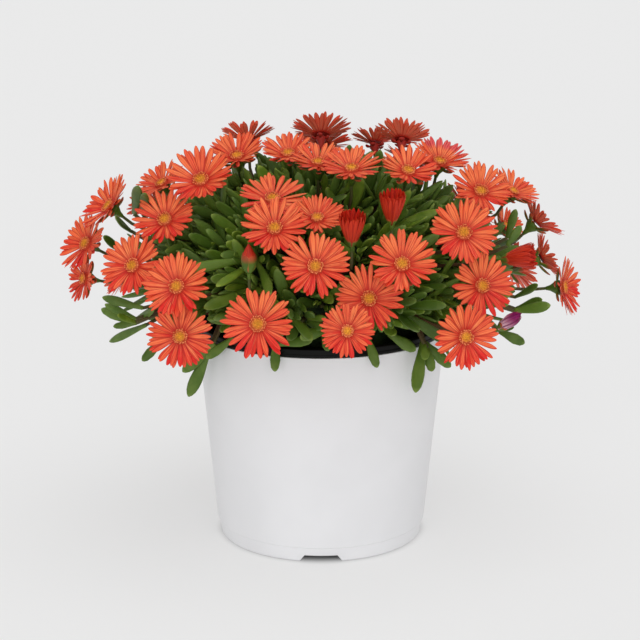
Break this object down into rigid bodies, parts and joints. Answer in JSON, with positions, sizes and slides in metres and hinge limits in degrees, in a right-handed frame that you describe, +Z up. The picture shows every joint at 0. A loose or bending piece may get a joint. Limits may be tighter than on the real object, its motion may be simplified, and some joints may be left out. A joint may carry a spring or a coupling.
{
  "type": "potted ice plant",
  "caption": "Low dome of daisy-like blooms and fleshy leaves in a tapered round plastic pot with a dark inner lip.",
  "frame": {"origin": "on the floor, under the middle of the plant and on the axis of the pot", "axes": "+Z up, -Y towards the side seen in the picture, +X to that viewer's right"},
  "size_m": [0.35, 0.3188, 0.2809],
  "materials": {
    "pot_white": "smooth satin white",
    "pot_black": "satin charcoal",
    "soil": "loose dark potting soil",
    "leaf": "fleshy leaf with fine papillae",
    "petal": "satin petal with fine lengthwise veins",
    "petal_spent": "wilted petal"
  },
  "bodies": {
    "root": {"pot_shell": "pot_white", "pot_liner": "pot_black", "soil": "soil", "foliage": "leaf", "bloom_01": "petal", "bloom_02": "petal", "bloom_03": "petal", "bloom_04": "petal", "bloom_05": "petal", "bloom_06": "petal", "bloom_07": "petal", "bloom_08": "petal", "bloom_09": "petal", "bloom_10": "petal", "bloom_11": "petal", "bloom_12": "petal", "bloom_13": "petal", "bloom_14": "petal", "bloom_15": "petal", "bloom_16": "petal", "bloom_17": "petal", "bloom_18": "petal", "bloom_19": "petal", "bloom_20": "petal", "bloom_21": "petal", "bloom_22": "petal", "bloom_23": "petal", "bloom_24": "petal", "bloom_25": "petal", "bloom_26": "petal", "bloom_27": "petal", "bloom_28": "petal", "bloom_29": "petal", "bloom_30": "petal", "bloom_31": "petal", "bloom_32": "petal", "bloom_33": "petal", "bloom_34": "petal", "bloom_35": "petal", "bloom_36": "petal", "bloom_37": "petal", "bloom_38": "petal", "bloom_39": "petal", "bloom_40": "petal", "bloom_41": "petal", "bloom_42": "petal", "bloom_43": "petal", "bloom_44": "petal", "bloom_45": "petal", "bloom_46": "petal", "bloom_47": "petal", "bloom_48": "petal", "bloom_49": "petal", "bloom_50": "petal", "half_open_1": "petal", "half_open_2": "petal", "half_open_3": "petal", "bud": "petal", "spent_bloom": "petal_spent"}
  },
  "joints": []
}
